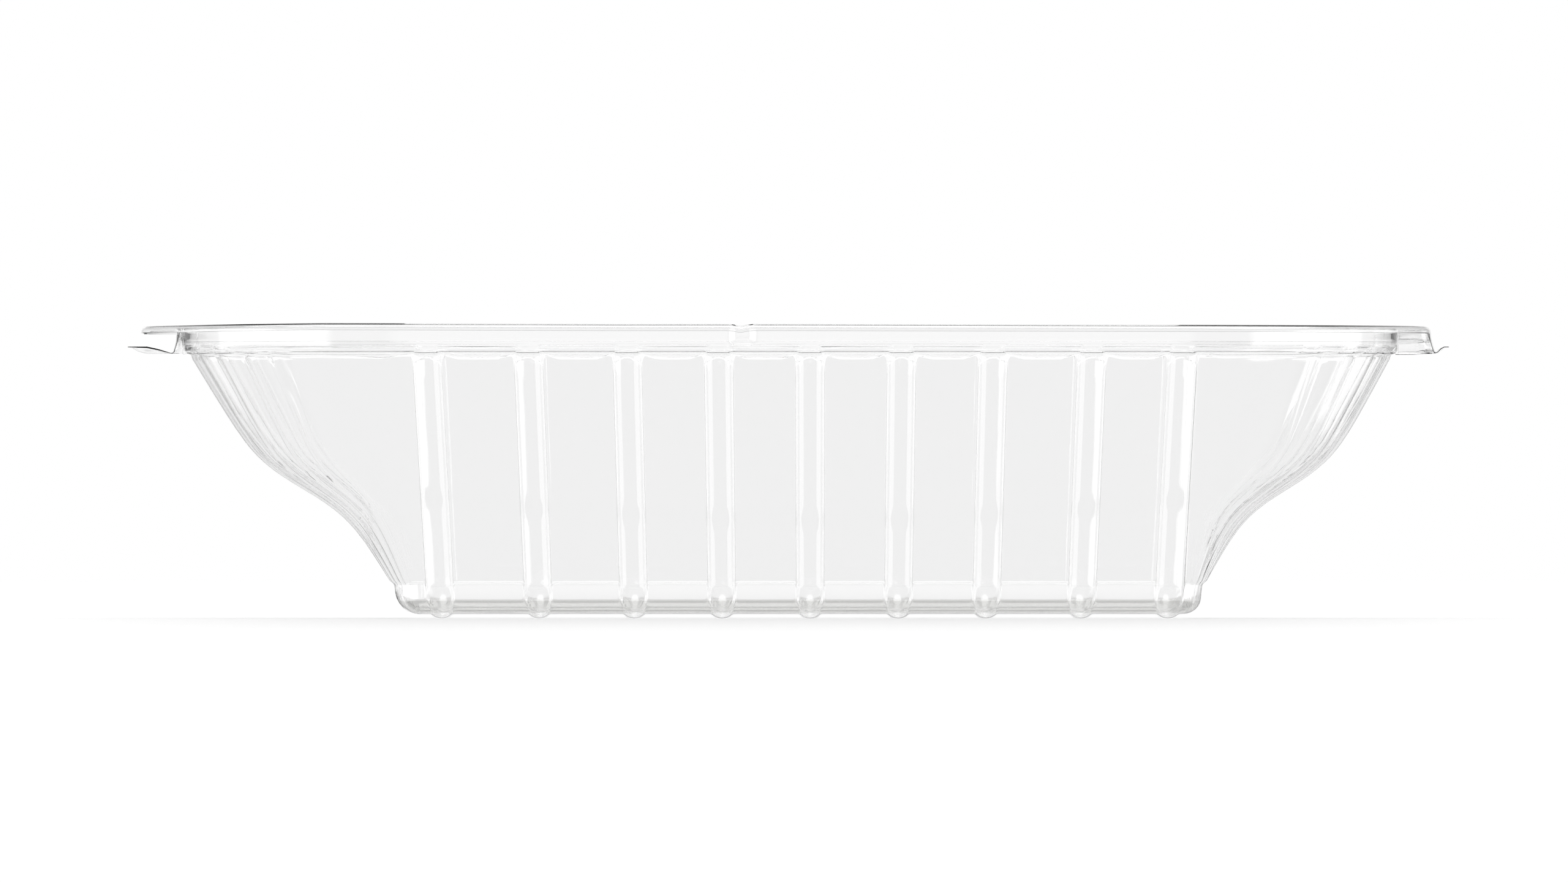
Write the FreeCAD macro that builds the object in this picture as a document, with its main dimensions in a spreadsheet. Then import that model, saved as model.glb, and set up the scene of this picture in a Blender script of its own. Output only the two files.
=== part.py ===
"""A clear thermoformed tray: one sheet of PET drawn into a deep ribbed basin.

The sheet is modelled as the outside form of the drawing less the same form set in by the sheet's
thickness. Millimetres, +Z up, X along the tray; the origin is at the middle of the footprint.
"""

import FreeCAD, Part
import Sketcher
import math
import os

V = FreeCAD.Vector

# name, value, what it is
DRIVING_SIZES = [
    ("sheet", 0.5, "thickness of the sheet"),
    # heights above the table
    ("panel_height", 0.95, "underside of the bottom panel"),
    ("foot_height", 7.4, "crease where the basin walls stand on the foot"),
    ("ledge_height", 54.3, "underside of the ledge round the mouth"),
    ("rim_height", 60.0, "top of the rim"),
    # the basin
    ("foot_reach", 82.7, "half length at the foot crease"),
    ("foot_half_width", 38.6, "half width at the foot crease"),
    ("foot_shift", 2.0, "how far the foot stands towards +X"),
    ("mouth_shift", 0.4, "how far the mouth stands towards +X"),
    ("end_slope", 0.57, "run of the end walls for each mm of height"),
    ("side_slope", 0.265, "run of the long walls for each mm of height"),
    ("end_step", 12.7, "run of the shoulder in the end walls"),
    ("shoulder_height", 26.4, "height of the middle of the shoulder"),
    ("shoulder_spread", 3.0, "how softly the shoulder turns"),
    ("foot_corner", 7.7, "corner radius of the basin at the foot crease"),
    # the flutes that fan up round each corner
    ("flute_count", 5, "flutes on each corner"),
    ("flute_turn", 57.0, "degrees of each corner that the flutes take up"),
    ("flute_depth", 0.022, "bulge of a flute, for each mm of the corner's radius"),
    # the foot
    ("foot_set_in", 0.5, "step in from the basin wall to the foot"),
    ("foot_draft", 6.0, "draft of the foot, degrees"),
    ("foot_fillet", 3.4, "radius of the foot's lower edge"),
    # the hoops that stiffen the long walls and stand on the table
    ("rib_radius", 3.0, "radius of a hoop's section"),
    ("rib_proud", 2.2, "how far a hoop stands out of the wall"),
    ("rib_bend", 6.0, "radius of a hoop's path at the foot"),
    ("rib_flat", 0.08, "how much of a hoop's lowest line is pressed flat"),
    ("rib_centre", 4.4, "place of the middle hoop along X"),
    ("rib_pitch_inner", 17.9, "spacing of the four middle bays"),
    ("rib_pitch_outer", 19.35, "spacing of the next bay each way"),
    ("rib_pitch_left", 19.85, "spacing of the last bay at -X"),
    ("rib_pitch_right", 17.65, "spacing of the last bay at +X"),
    ("rib_fan", 0.00073, "lean of a hoop, for each mm from the middle hoop"),
    # the ledge and riser round the mouth
    ("ledge_side", 3.0, "ledge on the long sides"),
    ("ledge_end", 1.8, "ledge at the ends"),
    ("ledge_bevel", 1.4, "bevel under the ledge"),
    ("riser_bevel", 0.7, "bevel at the foot of the riser"),
    ("mouth_bevel", 0.5, "bevel between the riser and the rim"),
    # the rim
    ("land_left", 8.67, "land of the rim beyond the riser at -X"),
    ("land_right", 6.8, "land of the rim beyond the riser at +X"),
    ("land_side", 3.47, "land of the rim beyond the riser on the long sides"),
    ("rim_corner", 46.0, "corner radius of the rim"),
    ("rim_drop", 1.6, "how far the rim's edge turns down"),
    ("rim_bevel", 1.1, "bevel along the turned edge"),
    # the lugs and pull tabs in the middle of each end
    ("lug_width", 36.0, "width of a lug along Y"),
    ("lug_root_left", 1.1, "land between the riser and the lug at -X"),
    ("lug_root_right", 6.8, "land between the riser and the lug at +X"),
    ("lug_slant", 1.2, "run of a lug's face down to its tab"),
    ("tab_proud", 2.4, "how far both tabs stand out beyond the longer rim"),
    ("tab_height", 53.6, "underside of a tab at its lowest"),
    ("tab_rise", 1.3, "how far a tab's tip turns up"),
    ("tab_corner", 3.0, "corner radius of both tabs in plan"),
    # the small pocket in the riser of the near side
    ("pocket_place", -9.3, "middle of the pocket along X"),
    ("pocket_width", 5.4, "width of the pocket"),
    ("pocket_depth", 2.2, "depth of the pocket out from the riser"),
    ("pocket_height", 56.0, "underside of the pocket"),
]

PLAIN_FACETS = 3  # flat strips between a corner's flutes and the long wall
CORE_DEPTH = 3.0  # the rim's forms reach this far down into the basin
CORE_SET_IN = 0.6  # and start this far inside the basin's wall
CORE_DRAFT = 20.0
SECTION_STEPS = (-3.0, -1.5, 0.0, 1.5, 3.2)  # plans below and above the shoulder, in spreads
OVERLAP = 0.7  # how far one form runs into the next
CLEARANCE_ABOVE = 4.0  # how far the cavity's forms run above the rim


def make_sheet(doc):
    """The spreadsheet of driving sizes, one row each, with the size's name as its alias."""
    sheet = doc.addObject("Spreadsheet::Sheet", "Dimensions")
    for row, (name, value, meaning) in enumerate(DRIVING_SIZES, start=1):
        sheet.set(f"A{row}", name)
        sheet.set(f"B{row}", str(value))
        sheet.set(f"C{row}", meaning)
        sheet.setAlias(f"B{row}", name)
    doc.recompute()
    return sheet


doc = FreeCAD.newDocument("ClearTray")
sheet = make_sheet(doc)


def size(name):
    """The value of one driving size."""
    return float(sheet.get(name))


def hoop_places():
    """Where each hoop stands along X, from -X to +X."""
    inner = size("rib_pitch_inner")
    outer = size("rib_pitch_outer")
    bays = [size("rib_pitch_left"), outer, inner, inner, inner, inner, outer, size("rib_pitch_right")]
    places = [size("rib_centre") - sum(bays[: len(bays) // 2])]
    for bay in bays:
        places.append(places[-1] + bay)
    return places


# ---------------------------------------------------------------- the basin's plan at each height


def flat_reach():
    """Half length of the flat part of the long walls."""
    return size("foot_reach") - size("foot_corner")


def logistic(x):
    return 1.0 / (1.0 + math.exp(-x))


def basin_plan(height):
    """Half length, half width and shift along X of the basin's outside at a height."""
    rise = height - size("foot_height")
    shoulder = logistic((height - size("shoulder_height")) / size("shoulder_spread"))
    reach = size("foot_reach") + size("end_slope") * rise + size("end_step") * shoulder
    half_width = size("foot_half_width") + size("side_slope") * rise
    share = rise / (size("ledge_height") - size("foot_height"))
    shift = size("foot_shift") + (size("mouth_shift") - size("foot_shift")) * share
    return reach, half_width, shift


def corner_points(height, inset):
    """Points round the +X +Y corner of the basin at a height, from the end towards the long wall.

    The corner's centre slides with the height, but the points keep their angles and a flute's
    bulge keeps its share of the radius, so each strip between two heights is flat.
    """
    reach, half_width, _ = basin_plan(height)
    radius = reach - flat_reach() - inset
    halves = 2 * int(size("flute_count"))
    plain = 90 - size("flute_turn")
    spokes = []
    for n in range(halves + 1):
        bulge = size("flute_depth") if n % 2 else 0.0
        spokes.append((size("flute_turn") * n / halves, radius * (1 + bulge)))
    for n in range(1, PLAIN_FACETS + 1):
        spokes.append((size("flute_turn") + plain * n / PLAIN_FACETS, radius))
    points = []
    for degrees, spoke in spokes:
        turn = math.radians(degrees)
        x = flat_reach() + spoke * math.cos(turn)
        y = half_width - inset - radius + spoke * math.sin(turn)
        points.append((x, y))
    return points


def basin_outline(height, inset):
    """The closed outline of the basin at a height, anticlockwise from the middle of the +X end."""
    shift = basin_plan(height)[2]
    corner = corner_points(height, inset)
    back = corner[::-1]
    outline = corner + [(-x, y) for x, y in back] + [(-x, -y) for x, y in corner]
    outline += [(x, -y) for x, y in back]
    return [V(x + shift, y, height) for x, y in outline]


def flat_face(points):
    return Part.Face(Part.makePolygon(points + points[:1]))


def basin_form(inset):
    """The basin from the foot crease to just inside the rim: flat strips between its outlines."""
    shoulder = [size("shoulder_height") + step * size("shoulder_spread") for step in SECTION_STEPS]
    heights = [size("foot_height") + inset] + shoulder + [size("ledge_height") + OVERLAP]
    outlines = [basin_outline(height, inset) for height in heights]
    faces = [flat_face(outlines[0]), flat_face(outlines[-1])]
    for lower, upper in zip(outlines, outlines[1:]):
        turned = zip(lower, lower[1:] + lower[:1], upper[1:] + upper[:1], upper)
        faces += [flat_face(list(corners)) for corners in turned]
    return Part.Solid(Part.makeShell(faces)).removeSplitter()


def riser_plan():
    """How far the riser round the mouth stands out: to -X, to +X and to each side."""
    reach, half_width, shift = basin_plan(size("ledge_height"))
    end = reach + size("ledge_end")
    return end - shift, end + shift, half_width + size("ledge_side")


# ---------------------------------------------------------------- the hoops


def bent_path(points, radius):
    """A wire of straight runs whose corners are each eased by a run across the bend."""
    eased = [points[0]]
    for before, corner, after in zip(points, points[1:], points[2:]):
        towards = (before - corner).normalize()
        away = (after - corner).normalize()
        half = towards.getAngle(away) / 2
        tangent = radius / math.tan(half)
        share = 1 - math.sin(half)
        run = tangent * 2 * share / (1 + share)
        eased += [corner + towards * run, corner + away * run]
    return Part.makePolygon(eased + [points[-1]])


def hoop_form(inset):
    """One hoop in the YZ plane: down the near wall, under the panel and up the far wall."""
    slope = size("side_slope")
    buried = (size("rib_radius") - size("rib_proud")) * math.hypot(1, slope)
    low = size("rib_radius") - size("rib_flat")
    top = size("ledge_height") + 2 * OVERLAP

    def wall(side, height):
        return V(0, side * (basin_plan(height)[1] - buried), height)

    path = bent_path([wall(-1, top), wall(-1, low), wall(1, low), wall(1, top)], size("rib_bend"))
    first = path.Edges[0]
    start = first.Vertexes[0].Point
    section = Part.Wire(
        Part.Circle(start, wall(-1, low) - start, size("rib_radius") - inset).toShape()
    )
    return path.makePipeShell([section], True, True, 1)


def place_hoop(feature, place):
    """Stands a hoop at its place and leans it outwards, about the line that it stands on."""
    lean = math.degrees(math.atan(size("rib_fan") * (place - size("rib_centre"))))
    turn = FreeCAD.Rotation(V(0, 1, 0), lean)
    feature.Placement = FreeCAD.Placement(V(place, 0, 0), turn, V(0, 0, size("rib_radius")))


# ---------------------------------------------------------------- bodies made of sketched pads


def plane_of(body, role):
    return next(f for f in body.Origin.OriginFeatures if f.Role == role)


def rounded_sketch(body, name, height, left, right, half_width, corner):
    """A rounded rectangle on the XY plane at a height. All sizes are sheet expressions."""
    sketch = body.newObject("Sketcher::SketchObject", name)
    sketch.AttachmentSupport = [(plane_of(body, "XY_Plane"), "")]
    sketch.MapMode = "FlatFace"
    sketch.setExpression("AttachmentOffset.Base.z", height)
    x, y, r = 100.0, 50.0, 20.0
    corners = [(x - r, -y + r, -90), (x - r, y - r, 0), (-x + r, y - r, 90), (-x + r, -y + r, 180)]
    lines = [
        Part.LineSegment(V(-x + r, -y, 0), V(x - r, -y, 0)),
        Part.LineSegment(V(x, -y + r, 0), V(x, y - r, 0)),
        Part.LineSegment(V(x - r, y, 0), V(-x + r, y, 0)),
        Part.LineSegment(V(-x, y - r, 0), V(-x, -y + r, 0)),
    ]
    for line in lines:
        sketch.addGeometry(line)
    for cx, cy, angle in corners:
        circle = Part.Circle(V(cx, cy, 0), V(0, 0, 1), r)
        start = math.radians(angle)
        sketch.addGeometry(Part.ArcOfCircle(circle, start, start + math.pi / 2))
    Constraint = Sketcher.Constraint
    for n in range(4):
        sketch.addConstraint(Constraint("Tangent", n, 2, 4 + n, 1))
        sketch.addConstraint(Constraint("Tangent", 4 + n, 2, (n + 1) % 4, 1))
        sketch.addConstraint(Constraint("Horizontal" if n % 2 == 0 else "Vertical", n))
    for n in range(1, 4):
        sketch.addConstraint(Constraint("Equal", 4, 4 + n))
    driven = [
        ("right", Constraint("DistanceX", -1, 1, 1, 1, x), right),
        ("left", Constraint("DistanceX", 3, 1, -1, 1, x), left),
        ("far", Constraint("DistanceY", -1, 1, 2, 1, y), half_width),
        ("near", Constraint("DistanceY", 0, 1, -1, 1, y), half_width),
        ("corner", Constraint("Radius", 4, r), corner),
    ]
    for label, constraint, expression in driven:
        index = sketch.addConstraint(constraint)
        sketch.renameConstraint(index, label)
        sketch.setExpression(f"Constraints.{label}", expression)
    return sketch


def pad(body, name, sketch, length, taper=0.0, down=False):
    """A pad of a sketch, upwards or downwards, whose length is a sheet expression."""
    feature = body.newObject("PartDesign::Pad", name)
    feature.Profile = sketch
    feature.setExpression("Length", length)
    feature.TaperAngle = taper
    feature.Reversed = down
    return feature


def edge_names(base, wanted):
    """The names of the edges of `base` that `wanted` picks."""
    doc.recompute()
    return [f"Edge{n}" for n, edge in enumerate(base.Shape.Edges, start=1) if wanted(edge)]


def fillet(body, name, base, radius, wanted):
    """Rounds some edges of `base`. The radius is a sheet expression."""
    feature = body.newObject("PartDesign::Fillet", name)
    feature.Base = (base, edge_names(base, wanted))
    feature.setExpression("Radius", radius)
    return feature


def bevel(body, name, base, width, wanted):
    """Bevels some edges of `base`. The width is a sheet expression."""
    feature = body.newObject("PartDesign::Chamfer", name)
    feature.Base = (base, edge_names(base, wanted))
    feature.setExpression("Size", width)
    return feature


def level(height, tolerance=1e-4):
    """Picks edges that lie flat at a height."""
    return lambda edge: (
        abs(edge.BoundBox.ZMin - height) < tolerance and abs(edge.BoundBox.ZMax - height) < tolerance
    )


def inside_plan(edge, left, right, half_width, margin=0.1):
    """Whether an edge lies within a rectangle in plan."""
    box = edge.BoundBox
    along = -left - margin < box.XMin and box.XMax < right + margin
    return along and -half_width - margin < box.YMin and box.YMax < half_width + margin


def foot_body(name, inset):
    """The foot: a drafted pad with a rounded lower edge, under the basin."""
    body = doc.addObject("PartDesign::Body", name)
    height = f"(Dimensions.foot_height - Dimensions.panel_height - {inset})"
    step = f"Dimensions.foot_set_in - {inset} - {height} * tan(Dimensions.foot_draft * 1deg)"
    sketch = rounded_sketch(
        body,
        name + "_outline",
        f"Dimensions.panel_height + {inset}",
        f"Dimensions.foot_reach - Dimensions.foot_shift - {step}",
        f"Dimensions.foot_reach + Dimensions.foot_shift - {step}",
        f"Dimensions.foot_half_width - {step}",
        "Dimensions.foot_corner",
    )
    block = pad(body, name + "_pad", sketch, f"{height} + {OVERLAP}", taper=size("foot_draft"))
    bottom = size("panel_height") + (size("sheet") if inset != "0" else 0.0)
    fillet(body, name + "_edge", block, f"Dimensions.foot_fillet - {inset}", level(bottom))
    return body


def rim_body(name, inset):
    """The ledge, the riser and the turn into the rim, with the bevels between them."""
    set_in = size("sheet") if inset != "0" else 0.0
    ledge = size("ledge_height") + set_in
    reach, half_width, shift = basin_plan(size("ledge_height"))
    body = doc.addObject("PartDesign::Body", name)

    def outline(label, height, out_end, out_side):
        return rounded_sketch(
            body,
            f"{name}_{label}",
            height,
            f"{reach - shift} + {out_end} - {inset}",
            f"{reach + shift} + {out_end} - {inset}",
            f"{half_width} + {out_side} - {inset}",
            f"{reach - flat_reach()} + {out_end} - {inset}",
        )

    ledge_at = f"Dimensions.ledge_height + {inset}"
    mouth_at = f"Dimensions.rim_height - Dimensions.sheet + {inset}"
    riser = outline("riser_outline", ledge_at, "Dimensions.ledge_end", "Dimensions.ledge_side")
    pad(body, f"{name}_riser", riser, f"{mouth_at} - ({ledge_at})")
    core = outline("core_outline", ledge_at, f"-{CORE_SET_IN}", f"-{CORE_SET_IN}")
    neck = pad(body, f"{name}_core", core, f"{CORE_DEPTH}", taper=-CORE_DRAFT, down=True)
    at_ledge = level(ledge)
    wall = (reach - shift, reach + shift, half_width)
    under = bevel(
        body,
        f"{name}_under_ledge",
        neck,
        f"Dimensions.ledge_bevel + {inset} * (2 - sqrt(2))",
        lambda edge: at_ledge(edge) and inside_plan(edge, *wall),
    )
    risen = tuple(extent - set_in for extent in riser_plan())
    short = tuple(extent - 0.5 for extent in risen)
    toe = bevel(
        body,
        f"{name}_riser_foot",
        under,
        f"Dimensions.riser_bevel - {inset} * (2 - sqrt(2))",
        lambda edge: at_ledge(edge) and not inside_plan(edge, *short),
    )
    mouth = outline("mouth_outline", mouth_at, "Dimensions.ledge_end + 2", "Dimensions.ledge_side + 2")
    lip = "0.3" if inset == "0" else f"{CLEARANCE_ABOVE}"
    body.Tip = toe
    plate = pad(body, f"{name}_mouth", mouth, lip)
    at_mouth = level(size("rim_height") - size("sheet") + set_in)
    bevel(
        body,
        f"{name}_mouth_turn",
        plate,
        f"Dimensions.mouth_bevel + {inset} * (2 - sqrt(2))",
        lambda edge: at_mouth(edge) and inside_plan(edge, *risen),
    )
    return body


def lip_body():
    """The rim: a flat sheet round the mouth whose edge turns down over a bevel."""
    body = doc.addObject("PartDesign::Body", "lip")
    hollow = doc.addObject("PartDesign::Body", "lip_hollow")
    base = "Dimensions.rim_height - Dimensions.rim_drop"
    left, right, side = riser_plan()

    def outline(owner, height, inset):
        return rounded_sketch(
            owner,
            f"{owner.Name}_outline",
            height,
            f"{left} + Dimensions.land_left - {inset}",
            f"{right} + Dimensions.land_right - {inset}",
            f"{side} + Dimensions.land_side - {inset}",
            f"Dimensions.rim_corner - {inset}",
        )

    plate = pad(body, "lip_plate", outline(body, base, "0"), "Dimensions.rim_drop")
    turned = bevel(
        body,
        "lip_turn",
        plate,
        "Dimensions.rim_bevel",
        level(size("rim_height")),
    )
    body.Tip = turned
    under = outline(hollow, f"{base} - 1", "Dimensions.sheet")
    block = pad(hollow, "lip_hollow_pad", under, "Dimensions.rim_drop + 1 - Dimensions.sheet")
    bevel(
        hollow,
        "lip_hollow_turn",
        block,
        "Dimensions.rim_bevel - Dimensions.sheet * (2 - sqrt(2))",
        level(size("rim_height") - size("sheet")),
    )
    cut = doc.addObject("Part::Cut", "lip_sheet")
    cut.Base = body
    cut.Tool = hollow
    return cut


# ---------------------------------------------------------------- lugs, tabs and pocket


def sheet_along(points, thickness):
    """A closed face: the band of a sheet of this thickness below a line of points in XZ."""
    below = []
    for n, point in enumerate(points):
        before = points[max(n - 1, 0)]
        after = points[min(n + 1, len(points) - 1)]
        normals = []
        for a, b in ((before, point), (point, after)):
            if (b - a).Length > 1e-9:
                along = (b - a).normalize()
                normals.append(V(along.z, 0, -along.x))
        normal = sum(normals, V()).normalize()
        stretch = normal.dot(normals[0])
        below.append(point + normal * (thickness / stretch))
    return Part.Face(Part.makePolygon(points + below[::-1] + points[:1]))


def lug_reaches(side):
    """How far a lug's face and its tab's tip stand out. `side` is -1 or 1 along X."""
    left, right, _ = riser_plan()
    face = left + size("lug_root_left") if side < 0 else right + size("lug_root_right")
    return face, left + size("land_left") + size("tab_proud")


def lug_form(side):
    """A lug: the rim turned down to a pull tab, as one sheet."""
    face, reach = lug_reaches(side)
    thick = size("sheet")
    foot = face + size("lug_slant")
    low = size("tab_height") + thick
    root = face - OVERLAP
    tip_run = min(reach - foot, 3.0)
    line = [
        (root, size("rim_height")),
        (face, size("rim_height")),
        (foot, low),
        (reach - tip_run / 2, low + size("tab_rise") * 0.2),
        (reach, low + size("tab_rise")),
    ]
    points = [V(x, 0, z) for x, z in line]
    width = size("lug_width")
    band = sheet_along(points, thick).extrude(V(0, width, 0))
    plan = Part.makeBox(reach - root, width, size("rim_height"))
    plan.translate(V(root, 0, 0))
    ends = [e for e in plan.Edges if e.BoundBox.ZLength > 1 and e.BoundBox.XMin > reach - 0.1]
    plan = plan.makeFillet(size("tab_corner"), ends)
    solid = band.common(plan)
    solid.translate(V(0, -width / 2, 0))
    if side < 0:
        solid = solid.mirror(V(), V(1, 0, 0))
    return solid


def lug_clearance(side):
    """The part of the rim that the lug takes the place of."""
    face, reach = lug_reaches(side)
    length = reach - face
    box = Part.makeBox(length, size("lug_width"), 2 * size("rim_drop"))
    x = face if side > 0 else -face - length
    box.translate(V(x, -size("lug_width") / 2, size("rim_height") - 1.5 * size("rim_drop")))
    return box


def pocket_form(inset):
    """The pocket pressed outwards into the near side's riser, open at the rim."""
    riser = riser_plan()[2]
    width = size("pocket_width") - 2 * inset
    top = size("rim_height") - size("sheet") + inset
    height = top - size("pocket_height") - inset
    box = Part.makeBox(width, size("pocket_depth") + 2, height + (CLEARANCE_ABOVE if inset else 0))
    x = size("pocket_place") - width / 2
    y = -riser - size("pocket_depth") + inset
    box.translate(V(x, y, size("pocket_height") + inset))
    upright = [e for e in box.Edges if e.BoundBox.ZLength > 1 and e.BoundBox.YMax < y + 0.1]
    return box.makeFillet(1.4 - inset, upright)


# ---------------------------------------------------------------- putting the tray together


def feature_of(name, shape):
    feature = doc.addObject("Part::Feature", name)
    feature.Shape = shape
    return feature


def whole_form(prefix, inset):
    """Every form of one side of the sheet, fused: the outside, or the cavity when set in."""
    set_in = size("sheet") if inset != "0" else 0.0
    basin = feature_of(f"{prefix}_basin", basin_form(set_in))
    pocket = feature_of(f"{prefix}_pocket", pocket_form(set_in))
    hoop = hoop_form(set_in)
    hoops = []
    for number, place in enumerate(hoop_places(), start=1):
        feature = feature_of(f"{prefix}_hoop_{number}", hoop)
        place_hoop(feature, place)
        hoops.append(feature)
    foot = foot_body(f"{prefix}_foot", inset)
    rim = rim_body(f"{prefix}_rim", inset)
    fuse = doc.addObject("Part::MultiFuse", f"{prefix}_form")
    fuse.Shapes = [basin, foot, rim, pocket] + hoops
    return fuse


def check(objects):
    """Stops if any object failed to compute or gave no valid shape."""
    for item in objects:
        bad = {"Invalid", "Error"} & set(item.State)
        if bad:
            raise RuntimeError(f"{item.Name}: {sorted(bad)}")
        if hasattr(item, "Shape") and not item.isDerivedFrom("App::Plane"):
            if item.Shape.isNull() or not item.Shape.isValid():
                raise RuntimeError(f"{item.Name}: shape is null or not valid")


outside = whole_form("outside", "0")
cavity = whole_form("cavity", "Dimensions.sheet")

shell = doc.addObject("Part::MultiFuse", "outside_with_rim")
shell.Shapes = [outside, lip_body()]

below_table = doc.addObject("Part::Box", "below_table")
below_table.Length = 400
below_table.Width = 200
below_table.Height = 10
below_table.Placement.Base = V(-200, -100, -10)

removed = doc.addObject("Part::MultiFuse", "removed")
removed.Shapes = [
    cavity,
    below_table,
    feature_of("lug_clearance_left", lug_clearance(-1)),
    feature_of("lug_clearance_right", lug_clearance(1)),
]

formed = doc.addObject("Part::Cut", "formed_sheet")
formed.Base = shell
formed.Tool = removed

tray = doc.addObject("Part::MultiFuse", "tray")
tray.Label = "tray"
tray.Shapes = [formed, feature_of("lug_left", lug_form(-1)), feature_of("lug_right", lug_form(1))]
tray.Refine = True

doc.recompute()
check(doc.Objects)
if len(tray.Shape.Solids) != 1:
    raise RuntimeError(f"the tray is {len(tray.Shape.Solids)} solids")

os.makedirs("parts", exist_ok=True)
tray.Shape.exportStep("parts/tray.step")
box = tray.Shape.BoundBox
print(f"tray {box.XLength:.2f} x {box.YLength:.2f} x {box.ZLength:.2f} mm")
print(f"X {box.XMin:.3f} {box.XMax:.3f}  Y {box.YMin:.3f} {box.YMax:.3f}  Z {box.ZMin:.3f} {box.ZMax:.3f}")
print(f"sheet volume {tray.Shape.Volume / 1000:.2f} cm3, {len(tray.Shape.Faces)} faces")
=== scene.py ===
"""A clear thermoformed tray on a white table: one PET sheet drawn into a ribbed basin."""

from __future__ import annotations

import logging
import math
from dataclasses import dataclass
from enum import Enum

import bmesh
import bpy
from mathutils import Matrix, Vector, noise

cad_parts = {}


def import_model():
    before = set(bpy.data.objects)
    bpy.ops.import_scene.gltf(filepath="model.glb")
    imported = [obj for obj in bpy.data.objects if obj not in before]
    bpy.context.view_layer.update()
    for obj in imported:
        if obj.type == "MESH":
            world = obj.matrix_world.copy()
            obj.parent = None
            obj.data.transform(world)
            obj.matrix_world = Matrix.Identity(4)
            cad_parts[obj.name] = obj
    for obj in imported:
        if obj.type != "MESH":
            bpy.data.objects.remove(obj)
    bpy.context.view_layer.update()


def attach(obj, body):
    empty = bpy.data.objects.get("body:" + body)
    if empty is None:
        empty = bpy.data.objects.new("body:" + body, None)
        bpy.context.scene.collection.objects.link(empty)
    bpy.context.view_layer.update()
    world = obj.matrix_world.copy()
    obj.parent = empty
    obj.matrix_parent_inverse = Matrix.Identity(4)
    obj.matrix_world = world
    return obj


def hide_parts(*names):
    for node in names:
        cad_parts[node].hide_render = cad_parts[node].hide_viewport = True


LOG = logging.getLogger("tray")
MM = 0.001  # metres in a millimetre


# ---------------------------------------------------------------- small helpers


def logistic(x: float) -> float:
    """A smooth step from 0 to 1 round zero."""
    return 1.0 / (1.0 + math.exp(-x))


def smooth_step(low: float, high: float, x: float) -> float:
    """A smooth step from 0 at `low` to 1 at `high`."""
    share = min(max((x - low) / (high - low), 0.0), 1.0)
    return share * share * (3.0 - 2.0 * share)


def mix(a: float, b: float, share: float) -> float:
    """The value a share of the way from a to b."""
    return a + (b - a) * share


def along_table(table: tuple[tuple[float, float], ...], x: float) -> float:
    """The value of a table of (place, value) pairs at x.

    Args:
        table: pairs in order of place.
        x: the place.

    Returns:
        The value, straight between the pairs and level beyond the ends.
    """
    if x <= table[0][0]:
        return table[0][1]
    for (x0, v0), (x1, v1) in zip(table, table[1:]):
        if x <= x1:
            return mix(v0, v1, (x - x0) / (x1 - x0))
    return table[-1][1]


def colour(code: str) -> tuple[float, float, float, float]:
    """The linear colour of an sRGB hex code.

    Args:
        code: six hex digits after a hash sign.

    Returns:
        Red, green, blue and an alpha of one.
    """
    parts = [int(code[n : n + 2], 16) / 255 for n in (1, 3, 5)]
    linear = [p / 12.92 if p <= 0.04045 else ((p + 0.055) / 1.055) ** 2.4 for p in parts]
    return linear[0], linear[1], linear[2], 1.0


def add_node(tree: bpy.types.NodeTree, kind: str, **settings: object) -> bpy.types.Node:
    """Adds a shader node.

    Args:
        tree: the node tree.
        kind: the node's type name.
        settings: properties by name; names of inputs set those inputs' own values.

    Returns:
        The new node.
    """
    node = tree.nodes.new(kind)
    for name, value in settings.items():
        if hasattr(node, name):
            setattr(node, name, value)
        else:
            node.inputs[name.replace("_", " ")].default_value = value
    return node


def feed(
    tree: bpy.types.NodeTree, source: bpy.types.NodeSocket | float, target: bpy.types.NodeSocket
) -> None:
    """Gives an input what it follows: another node's socket or a fixed number."""
    if isinstance(source, bpy.types.NodeSocket):
        tree.links.new(source, target)
    else:
        target.default_value = source


# ---------------------------------------------------------------- plans and stations


@dataclass(frozen=True)
class Plan:
    """A rounded rectangle: how far it reaches to -X, to +X and to each side, in mm."""

    left: float
    right: float
    half_width: float
    radius: float

    def set_in(self, end_left: float, end_right: float, side: float) -> "Plan":
        """The plan drawn in by these distances at its ends and sides."""
        radius = self.radius - (end_left + end_right + 2 * side) / 4
        return Plan(self.left - end_left, self.right - end_right, self.half_width - side, radius)


class Zone(Enum):
    """Where a station stands on the way round the basin."""

    WALL = "wall"
    TURN = "turn"
    CORNER = "corner"
    END = "end"


@dataclass(frozen=True)
class Station:
    """One upright line of the sheet's mesh.

    `place` is a distance along X on a wall, a share of the turn, an angle in degrees round a
    corner, or a share of the flat of an end.
    """

    zone: Zone
    end: int
    side: int
    place: float


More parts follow.
